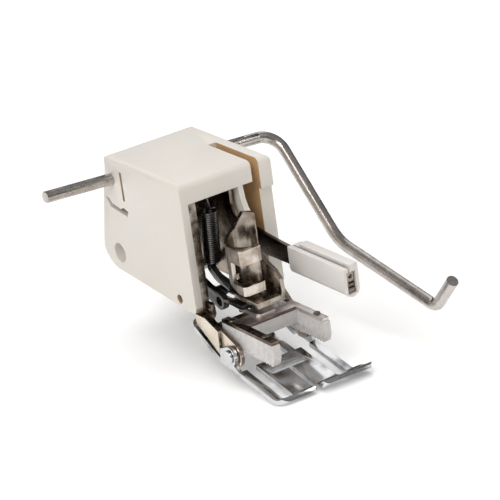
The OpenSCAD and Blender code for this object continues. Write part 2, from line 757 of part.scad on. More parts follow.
module lever_profile() {
    translate([lift_y, lift_z]) circle(lift_hub_r);
    translate([eye_y, eye_z]) circle(eye_r);
    polygon([
        [lift_y, lift_z + lift_hub_r / 2], [lift_y, lift_z - lift_hub_r],
        [eye_y, eye_z - eye_r], [eye_y - eye_r, flange_top_z - flange_t],
        [flange_back, flange_top_z - flange_t], [flange_front, flange_top_z - flange_t],
        [flange_front, flange_top_z], [flange_back, flange_top_z],
        [eye_y - eye_r, eye_z + eye_r / 2], [eye_y, eye_z + eye_r],
        [eye_y + 2 * eye_r, eye_z + eye_r + eye_r / 4]]);
    polygon([
        [lift_y, lift_z + lift_hub_r], [tail_y - tail_h, tail_low + tail_h], [tail_y, tail_low + tail_h / 2],
        [tail_y, tail_low], [lift_y, lift_z - lift_hub_r]]);
    translate([eye_y, eye_z]) strip(arm_curve, arm_curve_w);
}

module lift_lever() color([0.12, 0.12, 0.13]) at_bar() {
    under_z = flange_top_z - flange_t;
    lever_r_x = lever_x + lever_t;
    riser_y = eye_y + arm_curve[0].x;
    riser_z = eye_z + arm_curve[0].y + arm_curve_w / 2;
    difference() {
        union() {
            side_plate(lever_x, lever_t) lever_profile();
            box([lever_x, flange_front, under_z], [flange_right, flange_back, flange_top_z]);
            box([flange_right - 2 * rail_w, flange_back - over, under_z],
                [flange_right - rail_w, lug_y + lug_t, flange_top_z]);
            box([lever_r_x - over, lug_y, lug_z], [flange_right - rail_w, lug_y + lug_t, flange_top_z]);
            box([lever_x, riser_y, riser_z - arm_curve_w], [flange_right, riser_y + riser_t, riser_z]);
            box([flange_right - riser_w, riser_y, under_z], [flange_right, riser_y + riser_t, riser_z]);
        }
        x_pin(lever_x - over, lever_r_x + over, lift_pin_d / 2 + run_fit, lift_y, lift_z);
        x_pin(lever_x - over, lever_r_x + over, eye_hole_r, eye_y, eye_z);
        x_pin(lever_x - over, lever_r_x + over, spring_wire + run_fit, hook_y, hook_z);
        for (x = [lever_x - over, spring_x + low_hook_r / 2])
            box([x, hook_y - spring_wire, hook_z],
                [x + spring_x - low_hook_r / 2 - lever_x + over, hook_y + spring_wire, hook_z + arm_curve_w]);
        for (x = stud_x) translate([x, stud_y, under_z - over])
            cylinder(h = flange_t + 2 * over, r = stud_r + seat_fit);
    }
}

pin_out = 0.4;

module lift_pin() color("silver") at_bar() {
    x_pin(plate_l_x, frame_out_r + pin_out, lift_pin_d / 2, lift_y, lift_z);
}

module spring_post() color("silver") at_bar() {
    x_pin(plate_l_x, frame_out_r + pin_out, post_d / 2, post_y, post_z);
}

// Lift spring: a close coil between the post above and the lever's curved arm below
hook_gap = 0.1;
hook_steps = 8;
hook_turn = 250;
low_hook_r = 0.75;
spring_lean = 7;
coil_up = [0.1, 0.05, 1];
spring_start = 1.5;

module lift_spring() color([0.13, 0.13, 0.14]) at_bar() {
    r = (spring_d - spring_wire) / 2;
    w = spring_wire / 2;
    pitch = close_pitch_share * spring_wire;
    up = [post_y - hook_y, post_z - hook_z];
    post = [up.x * cos(spring_lean) + up.y * sin(spring_lean), up.y * cos(spring_lean) - up.x * sin(spring_lean)];
    top_r = post_d / 2 + hook_gap + w;
    translate([spring_x, hook_y, hook_z]) rotate([spring_lean, 0, 0]) wire(concat(
        [for (i = [0:hook_steps]) let (a = -hook_turn + hook_turn * i / hook_steps)
            [low_hook_r * sin(a), 0, low_hook_r * (1 - cos(a)) - w]],
        [for (p = coil(r, pitch, spring_coils)) p + [0, 0, spring_start]],
        [[r / 2, 0, spring_start + pitch * spring_coils + w]],
        [for (i = [0:hook_steps]) let (a = 180 - hook_turn * i / hook_steps)
            [0, post.x + top_r * cos(a), post.y + top_r * sin(a)]]),
        w, coil_up);
}

// Slide plate and studs: the feed dog's carrier slides to and fro under the lift lever
stud_r = 0.75;
stud_head_r = 1.15;
stud_head_t = 0.5;
stud_y = -4.6;
stud_in = 1.35;
stud_side = 0.3;
stud_x = [lever_x + lever_t + stud_r + stud_side, flange_right - stud_in];
feed_travel = 2.6;
slide_set = 0.5;
slide_x = stud_x[0] - stud_r - run_fit - slide_set;
slide_right = frame_out_r - shell_gap;
slide_front = -12.6;
slide_back = -3.3;
slide_top = strip_top + strip_t;
feed_spring_d = 1.3;
feed_spring_wire = 0.25;
feed_spring_coils = 9;
feed_spring_side = 1.05;
cross_front = -13.6;
cross_back = -10.4;

module slide_studs() color("silver") at_bar() {
    head_z = strip_top - shell_gap - stud_head_t;
    for (x = stud_x) translate([x, stud_y, head_z]) {
        cylinder(h = stud_head_t, r = stud_head_r);
        cylinder(h = flange_top_z - head_z, r = stud_r);
    }
}

module slide_plate() color("darkgray") at_bar() {
    translate([0, 0, strip_top]) linear_extrude(strip_t) difference() {
        polygon([
            [slide_x, slide_front + strip_t], [slide_x + strip_t, slide_front],
            [slide_right - 2 * strip_t, slide_front], [slide_right, slide_front + 3 * strip_t],
            [slide_right - strip_t, slide_back], [slide_x, slide_back]]);
        for (x = stud_x) {
            translate([x - stud_r - run_fit, stud_y - feed_travel]) square([2 * (stud_r + run_fit), feed_travel]);
            for (y = [stud_y, stud_y - feed_travel]) translate([x, y]) circle(stud_r + run_fit);
        }
    }
}

module feed_spring() color("dimgray") at_bar() {
    room = lug_y - slide_back - 2 * hook_gap;
    translate([lever_x + lever_t + feed_spring_side, slide_back + hook_gap, slide_top - strip_t / 2])
        rotate([-90, 0, 0]) wire(
            coil((feed_spring_d - feed_spring_wire) / 2, room / feed_spring_coils, feed_spring_coils),
            feed_spring_wire / 2, [0, 0, 1]);
}

// Feed carrier: a steel strip bent to a U in plan, riveted to the feed dog
feed_set = 0.45;
feed_x = frame_in_l - feed_set;
feed_back = -6;
feed_front = feed_back - feed_l;
feed_right_x = leg_right_x - shell_gap - feed_right_t;
feed_stagger = 1.7;
feed_right_front = feed_front + feed_stagger;
carrier_set = 0.4;

module feed_carrier() color("gray") at_bar() {
    translate([0, 0, feed_top]) linear_extrude(strip_t) difference() {
        union() {
            translate([feed_x, feed_front + carrier_set]) square([feed_leg_t, feed_l - carrier_set]);
            translate([feed_x, cross_front]) square([feed_right_x + feed_right_t - feed_x, cross_back - cross_front]);
            translate([feed_right_x, feed_right_front + carrier_set])
                square([feed_right_t, feed_back - feed_right_front - carrier_set]);
        }
        for (p = rivet_places) translate(p) circle(carrier_rivet_r + seat_fit);
    }
}

carrier_rivet_r = 0.45;
carrier_head_r = 0.8;
rivet_shares = [0.2, 0.85];
rivet_places = [for (k = rivet_shares) each [
    [feed_x + feed_leg_t / 2, feed_front + k * (feed_back - feed_front)],
    [feed_right_x + feed_right_t / 2, feed_right_front + k * (feed_back - feed_right_front)]]];

module carrier_rivets() color("silver") at_bar() {
    for (p = rivet_places) translate([p.x, p.y, 0]) {
        translate([0, 0, feed_top - strip_t]) cylinder(h = 2 * strip_t, r = carrier_rivet_r);
        translate([0, 0, strip_top]) cylinder(h = strip_t / 2, r = carrier_head_r);
    }
}

// Feed dog: a white moulding with two toothed legs and a cross wall
cross_wall_t = 1;
cross_wall_h = 3.2;

tooth_shares = [0.55, 0.85];
function teeth(y0, n, z) = [for (i = [0:n - 1]) each [
    [y0 + i * tooth_pitch, z + tooth_h],
    [y0 + (i + tooth_shares[0]) * tooth_pitch, z], [y0 + (i + tooth_shares[1]) * tooth_pitch, z]]];

module feed_leg(x, t, front) {
    n = floor((feed_back - front) / tooth_pitch) - 1;
    low = feed_top - feed_h;
    side_plate(x, t) polygon(concat(
        [[front, feed_top], [front, low + 4 * tooth_h], [front + tooth_pitch / 2, low + tooth_h]],
        teeth(front + tooth_pitch / 2, n, low),
        [[feed_back, low + tooth_h], [feed_back, feed_top]]));
}

module feed_dog() color("whitesmoke") at_bar() {
    difference() {
        union() {
            feed_leg(feed_x, feed_leg_t, feed_front);
            feed_leg(feed_right_x, feed_right_t, feed_right_front);
            box([feed_x, cross_front, feed_top - cross_wall_h],
                [feed_right_x + feed_right_t, cross_front + cross_wall_t, feed_top]);
        }
        for (p = rivet_places) translate([p.x, p.y, feed_top - strip_t - seat_fit])
            cylinder(h = 2 * strip_t, r = carrier_rivet_r + seat_fit);
    }
}

// Sole: one pressed sheet with slots for the feed dog, turned-up toes, a raised heel loop and two ears
rail_w_l = 2.1;
rail_w_r = 1.8;
slot_side = 0.35;
feed_slot_l = feed_x - slot_side;
toe_x = feed_x + feed_leg_t + slot_side;
toe_right = feed_right_x - slot_side;
sole_low = -ankle_up;
needle_side = 0.9;
needle_x = bar_x - needle_w / 2 + needle_side;
gap_x = bar_x + needle_side;
needle_front = 8.6;
needle_l = 1.9;
cross_l = 3.3;
inner_leg_w = 1.8;
inner_leg_set = 3.1;
inner_leg_x = gap_x + inner_leg_set;
lip_out = 3.2;
lip_start = 17.2;
rail_start = leg_r + 2 * shell_gap;
rail_notch = leg_right_r + 2 * shell_gap;
slot_front = 18;
heel_tab_w = 5.1;
heel_bar_w = 2.8;
heel_a = 16.5;
heel_y = 3;
heel_wide_y = 10;
heel_bar_y = heel_wide_y;
heel_bend_r = 8;
left_lip_r = 3;
left_lip_a = 48;
right_lip_r = 5.5;
right_lip_a = 58;
left_lip_y = -sole_front + left_lip_r * sin(left_lip_a);
right_lip_set = 1;
right_lip_y = left_lip_y + right_lip_set;
left_front = left_lip_y - left_lip_r * sin(left_lip_a);
right_front = right_lip_y - right_lip_r * sin(right_lip_a);
left_toe_r = 3.2;
right_toe_r = 1.7;
slot_r = 0.6;
ear_r = 2.3;
ear_right_r = 2.3;
ear_back_y = 3.7;
ear_back_h = 0.3;
ear_front = 1.6;
strip_h = 1.9;
plan_h = 16;
toe_r = 0.8;
heel_corner_r = 2.2;

// The sheet's side view from a front lip of radius r and angle a to the raised heel
module sole_side(lip_y, r, a) {
    c = sole_low + heel_bend_r;
    out = [cos(heel_a), sin(heel_a)] * sole_back;
    low = arc(heel_y, c, heel_bend_r, 270, 270 + heel_a, 4);
    high = arc(heel_y, c, heel_bend_r - sole_t, 270 + heel_a, 270, 4);
    polygon(concat(
        arc(lip_y, sole_low + r, r, 270 - a, 270, 8), low, [low[4] + out], [high[0] + out], high,
        arc(lip_y, sole_low + r, r - sole_t, 270, 270 - a, 8)));
}

module soft_box(x0, y0, x1, y1, r) {
    translate([x0 + r, y0]) square([x1 - x0 - 2 * r, y1 - y0]);
    translate([x0, y0 + r]) square([x1 - x0, y1 - y0 - 2 * r]);
    for (x = [x0 + r, x1 - r], y = [y0 + r, y1 - r]) translate([x, y]) circle(r);
}

module sole_plan_left() {
    right = gap_x - toe_gap / 2;
    difference() {
        union() {
            translate([rail_x + left_toe_r, left_front + left_toe_r]) circle(left_toe_r);
            translate([rail_x, left_front + left_toe_r])
                square([right - rail_x, -needle_front - left_front - left_toe_r]);
            translate([rail_x + left_toe_r, left_front - over]) square([right - rail_x - left_toe_r, left_toe_r + 2 * over]);
        }
        soft_box(feed_slot_l, -slot_front, toe_x, slot_front, slot_r);
    }
    translate([rail_x, -needle_front - over]) square([rail_w_l, needle_front - rail_start + over]);
}

module sole_plan_right() {
    left = gap_x + toe_gap / 2;
    right = rail_r_x + lip_out;
    difference() {
        union() {
            soft_box(left, right_front, right, -lip_start, right_toe_r);
            translate([left + right_toe_r, -lip_start])
                square([rail_r_x - left - right_toe_r, lip_start - needle_front]);
            translate([left, right_front + right_toe_r])
                square([right_toe_r, -needle_front - right_front - right_toe_r]);
            translate([toe_x, -needle_front]) square([toe_right - toe_x, needle_l + cross_l]);
            translate([inner_leg_x, -needle_front]) square([inner_leg_w, needle_front + heel_bar_y + over]);
            translate([rail_r_x - rail_w_r, -needle_front - over])
                square([rail_w_r, needle_front + 2 * over]);
        }
        soft_box(toe_right, -slot_front, rail_r_x - rail_w_r, slot_front, slot_r);
        translate([rail_r_x - rail_w_r - over, -rail_notch])
            square([rail_w_r + over - ear_r_t, 2 * rail_notch]);
        soft_box(needle_x, -needle_front, needle_x + needle_w, -needle_front + needle_l, toe_r);
        translate([toe_x + toe_r, -needle_front - over]) square([needle_x - toe_x, over]);
    }
}

// The heel in plan: a raised tab behind the left ear, and a cross bar over to the right ear
module heel_plan() {
    difference() {
        union() {
            soft_box(rail_x, -sole_back, rail_x + heel_tab_w, sole_back, heel_corner_r);
            translate([rail_x, heel_bar_y]) square([sole_w, heel_bar_w]);
            translate([rail_r_x - rail_w_r, 0]) square([rail_w_r, heel_bar_y + over]);
        }
        translate([rail_x + ear_t, -sole_back]) square([heel_tab_w, sole_back + heel_wide_y]);
        translate([rail_x - over, -2 * sole_back]) square([sole_w + 2 * over, 2 * sole_back]);
        translate([rail_r_x - rail_w_r - over, -over])
            square([rail_w_r + over - ear_r_t, rail_notch + over]);
    }
}

module tall(h) translate([0, 0, -h / 2]) linear_extrude(h) children();

module sheet_side(lip_y, r, a) side_plate(rail_x - over, sole_w + lip_out + 2 * over) sole_side(lip_y, r, a);

module left_ear() side_plate(rail_x, ear_t) polygon(concat(
    arc(0, 0, ear_r, 180 + asin(ear_front / ear_r), 75, 12),
    [[ear_back_y, ear_back_h], [ear_back_y, sole_low + sole_t], [heel_y, sole_low], [-2 * rail_notch, sole_low],
    [-2 * rail_notch, sole_low + sole_t], [-rail_start, sole_low + sole_t]]));

module right_ear() side_plate(rail_r_x - ear_r_t, ear_r_t) polygon(concat(
    arc(0, 0, ear_right_r, 180, 75, 10),
    [[rail_notch, ear_back_h - strip_h], [rail_notch, sole_low], [-rail_notch, sole_low],
    [-rail_notch, sole_low + sole_t]]));

module sole() color("gainsboro") at_bar() translate([0, -ankle_y, ankle_z]) rotate([sole_tilt, 0, 0]) {
    difference() {
        union() {
            intersection() { sheet_side(left_lip_y, left_lip_r, left_lip_a); tall(plan_h) sole_plan_left(); }
            intersection() { sheet_side(right_lip_y, right_lip_r, right_lip_a); tall(plan_h) sole_plan_right(); }
            intersection() { sheet_side(right_lip_y, right_lip_r, right_lip_a); tall(plan_h) heel_plan(); }
            left_ear();
            right_ear();
        }
        x_pin(rail_x - over, rail_x + ear_t + over, rivet_d / 2 + run_fit, 0, 0);
        x_pin(rail_r_x - ear_r_t - over, rail_r_x + over, rivet_d / 2 + run_fit, 0, 0);
    }
}

// Ankle rivets: fixed in the legs, with a head outside each ear
rivet_head_r = 1.6;
rivet_head_t = 0.5;
module ankle_rivet_left() color("silver") at_bar() {
    x_pin(rail_x - shell_gap / 3, leg_x + leg_t, rivet_d / 2, -ankle_y, ankle_z);
    x_pin(rail_x - shell_gap / 3 - rivet_head_t, rail_x - shell_gap / 3, rivet_head_r, -ankle_y, ankle_z);
}
module ankle_rivet_right() color("silver") at_bar() {
    x_pin(leg_right_x, rail_r_x + shell_gap / 3, rivet_d / 2, -ankle_y, ankle_z);
    x_pin(rail_r_x + shell_gap / 3, rail_r_x + shell_gap / 3 + rivet_head_t, rivet_head_r, -ankle_y, ankle_z);
}

// Guide bar: a bent rod, flat above and below along its straight part
bend_r = 5;
slope_bend_r = 13;
tip_bend_r = 3.6;
slope_a = 41.4;
run_a = 9.3;
tip_a = 51;
flat_end = 4;
bend_steps = 9;
joint_l = 0.6;
joint_share = 0.995;
guide_up = [1, 0, 2];

// Points of an arc of radius r in place of the corner p1 between p0 and p2
function bend(p0, p1, p2, r) =
    let (u = unit(p0 - p1), v = unit(p2 - p1), half = acos(u * v) / 2, turn = 180 - 2 * half,
        c = p1 + r / sin(half) * unit(u + v),
        a = p1 + r / tan(half) * u - c, b = p1 + r / tan(half) * v - c)
    [for (i = [0:bend_steps]) let (k = i / bend_steps)
        c + (sin(turn * (1 - k)) * a + sin(turn * k) * b) / sin(turn)];

module guide_bar() color("silver") at_bar() along_guide() {
    p1 = [guide_right, 0, 0];
    p2 = p1 - guide_slope_l * [0, cos(slope_a), sin(slope_a)];
    p3 = p2 - guide_run_l * [0, cos(run_a), sin(run_a)];
    p4 = p3 + guide_tip_l * [0, -cos(tip_a), sin(tip_a)];
    straight_end = guide_right - bend_r;
    difference() {
        x_pin(-guide_left, straight_end, guide_d / 2, 0, 0);
        for (side = [-1, 1]) translate([-guide_left - over, -guide_d, side * guide_flat - guide_flat / 2])
            cube([guide_left + over + straight_end - flat_end, 2 * guide_d, guide_flat]);
    }
    wire(concat([[straight_end - joint_l, 0, 0]], bend([0, 0, 0], p1, p2, bend_r),
        bend(p1, p2, p3, slope_bend_r), bend(p2, p3, p4, tip_bend_r), [p4]),
        joint_share * guide_d / 2, guide_up, bar_sides);
}

housing();
housing_pins();
main_frame();
shank_head();
shank_rivets();
fork_shaft();
fork_arm();
fork_shoe();
fork_tip();
fork_crank();
fork_spring();
shaft_clip();
lift_lever();
lift_pin();
lift_spring();
spring_post();
slide_studs();
feed_spring();
slide_plate();
feed_carrier();
carrier_rivets();
feed_dog();
sole();
ankle_rivet_left();
ankle_rivet_right();
guide_bar();
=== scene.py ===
import json
import math

import bmesh
import bpy
from mathutils import Matrix, Vector


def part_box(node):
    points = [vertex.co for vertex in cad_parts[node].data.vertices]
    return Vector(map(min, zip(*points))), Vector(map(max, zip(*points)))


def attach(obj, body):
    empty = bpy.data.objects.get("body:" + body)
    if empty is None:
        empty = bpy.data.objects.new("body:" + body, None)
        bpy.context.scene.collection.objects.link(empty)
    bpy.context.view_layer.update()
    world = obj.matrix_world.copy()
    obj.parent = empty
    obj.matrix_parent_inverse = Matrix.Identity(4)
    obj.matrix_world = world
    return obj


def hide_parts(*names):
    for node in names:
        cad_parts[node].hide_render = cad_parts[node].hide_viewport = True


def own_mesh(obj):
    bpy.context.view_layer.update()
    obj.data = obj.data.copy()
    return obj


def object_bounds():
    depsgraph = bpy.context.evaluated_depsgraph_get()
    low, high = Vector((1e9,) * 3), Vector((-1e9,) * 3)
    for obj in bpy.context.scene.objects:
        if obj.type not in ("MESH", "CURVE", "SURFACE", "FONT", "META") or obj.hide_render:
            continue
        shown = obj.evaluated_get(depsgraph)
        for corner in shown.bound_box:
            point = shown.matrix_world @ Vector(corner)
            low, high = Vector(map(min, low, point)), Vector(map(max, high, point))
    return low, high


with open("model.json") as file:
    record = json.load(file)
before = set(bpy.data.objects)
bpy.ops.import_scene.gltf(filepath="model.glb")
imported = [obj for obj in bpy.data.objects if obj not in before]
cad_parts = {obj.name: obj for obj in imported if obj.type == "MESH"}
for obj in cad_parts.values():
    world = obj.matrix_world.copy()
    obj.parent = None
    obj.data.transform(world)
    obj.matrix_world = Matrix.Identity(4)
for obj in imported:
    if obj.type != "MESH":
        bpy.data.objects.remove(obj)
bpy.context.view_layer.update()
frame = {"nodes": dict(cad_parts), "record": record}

nodes = frame["nodes"]

MM = 0.001
# Housing corner (upper, left, front) in the row frame, in mm
CORNER = Vector((-10.1, 8.8, 20.2))


def at(x, y, z):
    """A point given from the housing's upper left front corner in mm, in metres in the row frame."""
    return (Vector((x, y, z)) + CORNER) * MM


# materials
class Mat:
    """A small builder for procedural materials on Object coordinates."""

    def __init__(self, name):
        self.mat = bpy.data.materials.new(name)
        self.mat.use_nodes = True
        self.tree = self.mat.node_tree
        self.tree.nodes.clear()
        self.out = self.node("ShaderNodeOutputMaterial")
        self.bsdf = self.node("ShaderNodeBsdfPrincipled")
        self.link(self.bsdf.outputs[0], self.out.inputs[0])
        self.coord = self.node("ShaderNodeTexCoord").outputs["Object"]

    def node(self, kind, **values):
        n = self.tree.nodes.new(kind)
        for key, value in values.items():
            if hasattr(n, key):
                setattr(n, key, value)
            else:
                n.inputs[key.replace("_", " ")].default_value = value
        return n

    def link(self, a, b):
        self.tree.links.new(a, b)

    def set(self, **values):
        for key, value in values.items():
            self.bsdf.inputs[key.replace("_", " ")].default_value = value

    def noise(self, scale, detail=3.0, stretch=None):
        n = self.node("ShaderNodeTexNoise", Scale=scale, Detail=detail)
        source = self.coord
        if stretch:
            m = self.node("ShaderNodeMapping")
            m.inputs["Scale"].default_value = stretch
            self.link(source, m.inputs["Vector"])
            source = m.outputs[0]
        self.link(source, n.inputs["Vector"])
        return n.outputs["Fac"]

    def ramp(self, fac, stops):
        r = self.node("ShaderNodeValToRGB")
        ramp = r.color_ramp
        while len(ramp.elements) < len(stops):
            ramp.elements.new(0.5)
        for e, (pos, color) in zip(ramp.elements, stops):
            e.position = pos
            c = color if isinstance(color, (tuple, list)) else (color,) * 3
            e.color = (*c, 1.0)
        self.link(fac, r.inputs[0])
        return r.outputs[0]

    def bump(self, height, strength, distance=0.0001):
        b = self.node("ShaderNodeBump", Strength=strength, Distance=distance)
        self.link(height, b.inputs["Height"])
        if self.bsdf.inputs["Normal"].is_linked:
            self.link(self.bsdf.inputs["Normal"].links[0].from_socket, b.inputs["Normal"])
        self.link(b.outputs[0], self.bsdf.inputs["Normal"])

    def color(self, socket):
        self.link(socket, self.bsdf.inputs["Base Color"])

    def rough(self, socket):
        self.link(socket, self.bsdf.inputs["Roughness"])


def plastic(name, light, dark, rough, sss, radius, scale):
    """Moulded plastic: slow colour change, a satin skin and a fine mould grain."""
    m = Mat(name)
    m.set(Subsurface_Weight=sss, Subsurface_Scale=0.0012, Coat_Weight=0.06, Coat_Roughness=0.3)
    m.bsdf.inputs["Subsurface Radius"].default_value = radius
    m.color(m.ramp(m.noise(scale, 4), [(0.3, dark), (0.72, light)]))
    m.rough(m.ramp(m.noise(900, 5), [(0.3, rough - 0.06), (0.7, rough + 0.07)]))
    m.bump(m.noise(2600, 6), 0.12, 0.00003)
    m.bump(m.noise(160, 2), 0.08, 0.0002)
    return m


def metal(name, bright, stain, rough, spread, stain_at=(0.42, 0.66), scale=190, grain=None, wave=0.10):
    """Plated or bare steel: stains of the given scale, a fine haze, and a slightly wavy surface."""
    m = Mat(name)
    m.set(Metallic=1.0)
    patches = m.ramp(m.noise(scale, 6), [(stain_at[0], bright), (stain_at[1], stain)])
    fine = m.ramp(m.noise(1700, 4), [(0.35, 0.92), (0.7, 1.0)])
    tint = m.node("ShaderNodeMix", data_type="RGBA", blend_type="MULTIPLY")
    tint.inputs[0].default_value = 1.0
    m.link(patches, tint.inputs[6])
    m.link(fine, tint.inputs[7])
    m.color(tint.outputs[2])
    m.rough(m.ramp(m.noise(420, 5), [(0.3, rough), (0.75, rough + spread)]))
    if grain:
        m.bump(m.noise(1100, 5, grain), 1.6 * wave, 0.00004)
    m.bump(m.noise(240, 3), wave, 0.0001)
    return m


# plastics: light and dark tone, roughness, depth of light, its colour, scale
ivory = plastic("ivory_plastic", (0.73, 0.695, 0.645), (0.69, 0.65, 0.59), 0.38, 0.2, (1.0, 0.7, 0.5), 38)
# The inner face of the right wall and the sides of the cuts in the left wall are painted tan as shade
inner_shade = plastic("inner_shade_plastic", (0.62, 0.39, 0.20), (0.54, 0.33, 0.16), 0.45, 0.15, (1.0, 0.6, 0.35), 38)
cut_shade = plastic("cut_shade_plastic", (0.50, 0.38, 0.24), (0.36, 0.26, 0.15), 0.5, 0.1, (1.0, 0.6, 0.3), 60)
white = plastic("white_plastic", (0.72, 0.69, 0.66), (0.66, 0.63, 0.60), 0.34, 0.25, (1.0, 0.8, 0.6), 60)
milky = plastic("milky_plastic", (0.66, 0.64, 0.63), (0.56, 0.535, 0.52), 0.28, 0.4, (1.0, 0.85, 0.75), 90)
# metals: bright tone, stain, roughness and its spread, where stains start and end, scale
# Pale nickel is a painted highlight on the frame leg's outer face
pale = metal("painted_highlight_nickel", (0.80, 0.72, 0.61), (0.60, 0.51, 0.41), 0.24, 0.14, (0.45, 0.80), 200)
# Very dark nickel is painted shade: on the frame inside the housing, and on the bar head's tops and slot side
shade_nickel = metal("painted_shade_nickel", (0.30, 0.24, 0.185), (0.055, 0.040, 0.030), 0.14, 0.22, (0.36, 0.62), 170)
rod = metal("rod_nickel", (0.60, 0.56, 0.53), (0.42, 0.38, 0.35), 0.2, 0.12, (0.42, 0.78), 320, (1, 9, 9), wave=0.04)
plate = metal("plate_steel", (0.76, 0.71, 0.69), (0.58, 0.52, 0.49), 0.34, 0.16, (0.40, 0.72), 300)
nickel = metal("nickel", (0.52, 0.47, 0.41), (0.17, 0.125, 0.09), 0.16, 0.2, (0.36, 0.66), 240)
# Bright nickel is painted light on the bar head's front and right faces
bright = metal("painted_lit_nickel", (0.68, 0.62, 0.55), (0.34, 0.26, 0.20), 0.13, 0.16, (0.42, 0.76), 320)
seat = metal("seat_nickel", (0.70, 0.61, 0.53), (0.32, 0.23, 0.17), 0.22, 0.18, (0.40, 0.70), 260, (1, 1, 14))
chrome = metal("chrome_plate", (0.70, 0.705, 0.715), (0.20, 0.20, 0.205), 0.14, 0.08, (0.46, 0.68), 120, wave=0.02)
steel = metal("grey_steel", (0.36, 0.32, 0.28), (0.15, 0.12, 0.10), 0.26, 0.2, (0.36, 0.66), 420, (1, 9, 1))
# Strip steel is painted shade on the front faces of the frame's left flange
strip = metal("strip_steel", (0.42, 0.37, 0.32), (0.10, 0.08, 0.06), 0.22, 0.2, (0.40, 0.62), 420)
brown = metal("brown_steel", (0.20, 0.155, 0.13), (0.085, 0.062, 0.05), 0.16, 0.16, (0.40, 0.70), 300)
dark = metal("dark_steel", (0.045, 0.036, 0.030), (0.16, 0.13, 0.11), 0.14, 0.2, (0.50, 0.74), 150, (1, 7, 1))

black = Mat("black_steel")
black.set(Metallic=0.35, Specular_IOR_Level=0.6, Coat_Weight=0.35, Coat_Roughness=0.18)
black.color(black.ramp(black.noise(300, 5), [(0.35, (0.010, 0.010, 0.011)), (0.75, (0.035, 0.034, 0.034))]))
black.rough(black.ramp(black.noise(700, 4), [(0.3, 0.14), (0.75, 0.34)]))
black.bump(black.noise(900, 4), 0.14, 0.00004)

coil = metal("coil_steel", (0.13, 0.125, 0.12), (0.06, 0.056, 0.052), 0.2, 0.12, (0.42, 0.74), 500)


# modelling helpers
def clear_selection():
    bpy.ops.object.select_all(action="DESELECT")


def pick(obj):
    clear_selection()
    obj.hide_set(False)
    obj.select_set(True)
    bpy.context.view_layer.objects.active = obj


def apply_all(obj):
    pick(obj)
    for m in list(obj.modifiers):
        bpy.ops.object.modifier_apply(modifier=m.name)


def paint(obj, *mats):
    obj.data.materials.clear()
    for m in mats:
        obj.data.materials.append(m.mat)


def copy_of(node, name):
    """A copy of a CAD node's mesh, merged and with its flat faces made whole."""
    source = nodes[node]
    mesh = source.data.copy()
    mesh.transform(source.matrix_world)
    obj = bpy.data.objects.new(name, mesh)
    bpy.context.scene.collection.objects.link(obj)
    pick(obj)
    bpy.ops.object.mode_set(mode="EDIT")
    bpy.ops.mesh.select_all(action="SELECT")
    bpy.ops.mesh.remove_doubles(threshold=0.000002)
    bpy.ops.mesh.dissolve_limited(angle_limit=math.radians(0.6))
    bpy.ops.object.mode_set(mode="OBJECT")
    return obj


def body_of_node(node):
    for body, members in frame["record"]["behaviour"]["bodies"].items():
        if node in members:
            return body
    raise KeyError(node)


def finish_piece(obj, node, angle=38):
    pick(obj)
    bpy.ops.object.shade_smooth_by_angle(angle=math.radians(angle))
    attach(obj, body_of_node(node))


def weigh_edges(obj, angle, share_at):
    """Gives each sharp edge a bevel weight by its middle point."""
    mesh = bmesh.new()
    mesh.from_mesh(obj.data)
    weights = mesh.edges.layers.float.new("bevel_weight_edge")
    for e in mesh.edges:
        if len(e.link_faces) == 2 and e.calc_face_angle(0) > angle:
            e[weights] = share_at((e.verts[0].co + e.verts[1].co) / 2, e)
    mesh.to_mesh(obj.data)
    mesh.free()


def dress(node, name, width, *mats, segments=3, angle=34, smooth=38, face_mat=None, share_at=None):
    """Stands for a CAD node: the same form with its edges broken, as a pressed or moulded part has them."""
    obj = copy_of(node, name)
    paint(obj, *mats)
    if face_mat:
        for p in obj.data.polygons:
            p.material_index = face_mat(p)
    if width:
        if share_at:
            weigh_edges(obj, math.radians(angle), share_at)
        b = obj.modifiers.new("edges", "BEVEL")
        b.width = width * MM
        b.segments = segments
        b.limit_method = "WEIGHT" if share_at else "ANGLE"
        b.angle_limit = math.radians(angle)
        b.use_clamp_overlap = True
        b.miter_outer = "MITER_ARC"
        b.harden_normals = False
        apply_all(obj)
    finish_piece(obj, node, smooth)
    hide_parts(node)
    return obj


def wire(name, points, radius, mat, body, sides=4):
    """A round wire through points, as a smooth tube."""
    curve = bpy.data.curves.new(name, "CURVE")
    curve.dimensions = "3D"
    curve.bevel_depth = radius
    curve.bevel_resolution = sides
    curve.use_fill_caps = True
    s = curve.splines.new("POLY")
    s.points.add(len(points) - 1)
    for p, co in zip(s.points, points):
        p.co = (*co, 1.0)
    obj = bpy.data.objects.new(name, curve)
    bpy.context.scene.collection.objects.link(obj)
    pick(obj)
    bpy.ops.object.convert(target="MESH")
    obj = bpy.context.view_layer.objects.active
    paint(obj, mat)
    bpy.ops.object.shade_smooth_by_angle(angle=math.radians(50))
    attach(obj, body)
    return obj


# housing and frame
HOUSING_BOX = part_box("housing")


INNER_EDGE_SHARE = 0.28
ON_OUTSIDE = 0.3 * MM
LEFT_WALL = (0.05, 1.7)
TONGUE_Y, TONGUE_Z = (1.5, 27), (-27.5, -1.6)
HOLES_BELOW_Z = -18
HOLE_FACE_AREA = 6 * MM * MM
RIGHT_INSIDE_X = 6.5 * MM


def between(value, limits):
    return limits[0] < value < limits[1]


def housing_share(p, e):
    """The shell's outer corners are rounder than the edges of its openings."""
    low, high = HOUSING_BOX
    outside = [p.x - low[0] < ON_OUTSIDE, high[0] - p.x < ON_OUTSIDE,
               high[2] - p.z < ON_OUTSIDE, p.y - low[1] < ON_OUTSIDE]
    return 1.0 if sum(outside) >= 2 else INNER_EDGE_SHARE


